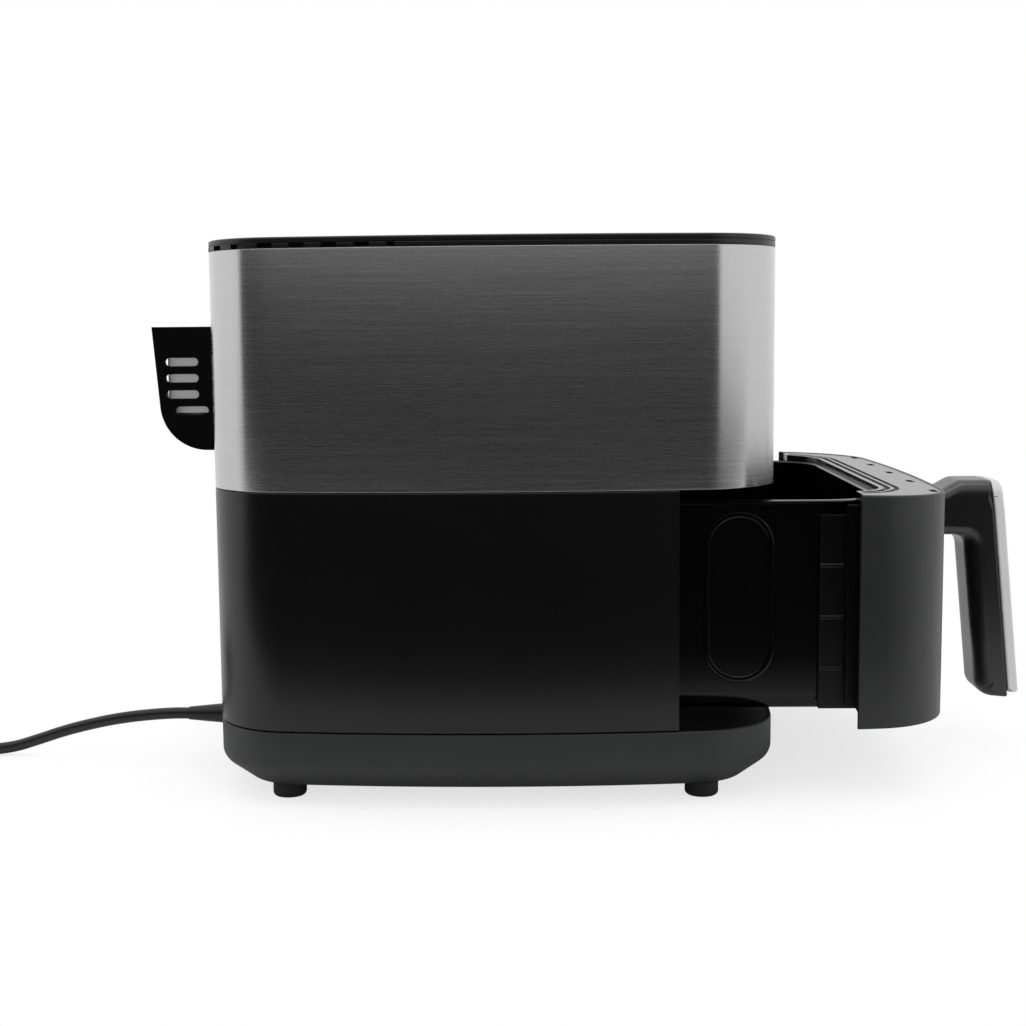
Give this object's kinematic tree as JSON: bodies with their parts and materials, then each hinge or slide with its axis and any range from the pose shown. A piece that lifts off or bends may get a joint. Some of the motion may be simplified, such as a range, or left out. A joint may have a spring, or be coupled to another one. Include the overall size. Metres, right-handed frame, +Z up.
{
  "type": "air fryer",
  "caption": "Drawer air fryer with a brushed steel upper body, black lower body, pull-out pan with crisper tray and a rear hot-air outlet.",
  "frame": {"origin": "on the standing surface, under the centre of the box round the object at rest, without its cord", "axes": "+Z up, -Y towards the drawer and its handle, +X across, to the right of someone looking along +Y from the handle side"},
  "size_m": [0.324, 0.7568, 0.3124],
  "materials": {
    "charcoal_plastic": "fine satin moulding",
    "black_plastic": "fine satin moulding",
    "drawer_black": "smooth moulding",
    "handle_black": "soft satin moulding",
    "foot_rubber": "moulded rubber",
    "zinc_screws": "zinc plated",
    "galvanised_sheet": "galvanised sheet",
    "brushed_stainless": "horizontal brushed grain",
    "panel_glass": "polished dark panel",
    "circuit_board": "solder mask",
    "mineral_wool": "fibrous pad",
    "element_sheath": "heat darkened tube",
    "guard_wire": "bright wire and sheet",
    "motor_steel": "bare steel",
    "bronze": "sintered bronze",
    "white_plastic": "plain moulding",
    "glass_sleeve": "braided sleeve",
    "cord_rubber": "satin sheath",
    "tie_rubber": "soft strap",
    "plated_brass": "nickel plated",
    "nonstick_coating": "glossy non-stick coating",
    "silver_trim": "satin silver",
    "silicone": "silicone"
  },
  "bodies": {
    "housing": {"base": "charcoal_plastic", "base_skirt": "charcoal_plastic", "bottom_plate": "black_plastic", "rubber_feet": "foot_rubber", "base_screws": "zinc_screws", "lower_shell": "black_plastic", "cavity_frame": "black_plastic", "cavity_liner": "galvanised_sheet", "slide_rails": "galvanised_sheet", "upper_chassis": "black_plastic", "steel_wrap": "brushed_stainless", "top_cover": "black_plastic", "exhaust_vent": "black_plastic", "exhaust_duct": "galvanised_sheet", "control_panel": "panel_glass", "panel_frame": "black_plastic", "display_board": "circuit_board", "heater_housing": "galvanised_sheet", "insulation_ring": "mineral_wool", "heating_element": "element_sheath", "element_clips": "galvanised_sheet", "heater_guard": "guard_wire", "ntc_sensor": "guard_wire", "thermal_fuse": "galvanised_sheet", "motor_bracket": "galvanised_sheet", "motor_screws": "zinc_screws", "fan_motor": "motor_steel", "shaft_bushes": "bronze", "power_board": "circuit_board", "board_posts": "white_plastic", "terminal_block": "white_plastic", "wiring_loom": "glass_sleeve", "micro_switch": "charcoal_plastic", "cord_gland": "cord_rubber", "power_cord": "cord_rubber", "cord_coil": "cord_rubber", "cord_tail": "cord_rubber", "cord_tie": "tie_rubber", "plug_body": "cord_rubber", "plug_pins": "plated_brass"},
    "drawer": {"drawer_front": "charcoal_plastic", "drawer_cap": "drawer_black", "drawer_inner_panel": "drawer_black", "side_brackets": "drawer_black", "bracket_screws": "zinc_screws", "pan": "nonstick_coating", "handle_body": "handle_black", "handle_cover": "silver_trim", "handle_screws": "zinc_screws"},
    "tray": {"crisper_tray": "nonstick_coating", "tray_bumpers": "silicone"},
    "rotor": {"fan_shaft": "motor_steel", "circulation_fan": "guard_wire", "fan_nut": "zinc_screws", "cooling_fan": "white_plastic"},
    "plunger": {"switch_plunger": "white_plastic"}
  },
  "joints": [
    {"name": "drawer_slide", "type": "slide", "parent": "housing", "child": "drawer", "axis": [0, -1, 0], "range_m": [-0.096, 0.16]},
    {"name": "tray_lift", "type": "slide", "parent": "drawer", "child": "tray", "axis": [0, 0, 1], "range_m": [0, 0.08]},
    {"name": "fan_spin", "type": "hinge", "parent": "housing", "child": "rotor", "pos_m": [0, 0.06625, 0.24], "axis": [0, 0, 1], "continuous": true},
    {"name": "plunger_slide", "type": "slide", "parent": "housing", "child": "plunger", "axis": [0, 1, 0], "range_m": [0, 0.002], "stiffness_N_per_m": 300}
  ]
}
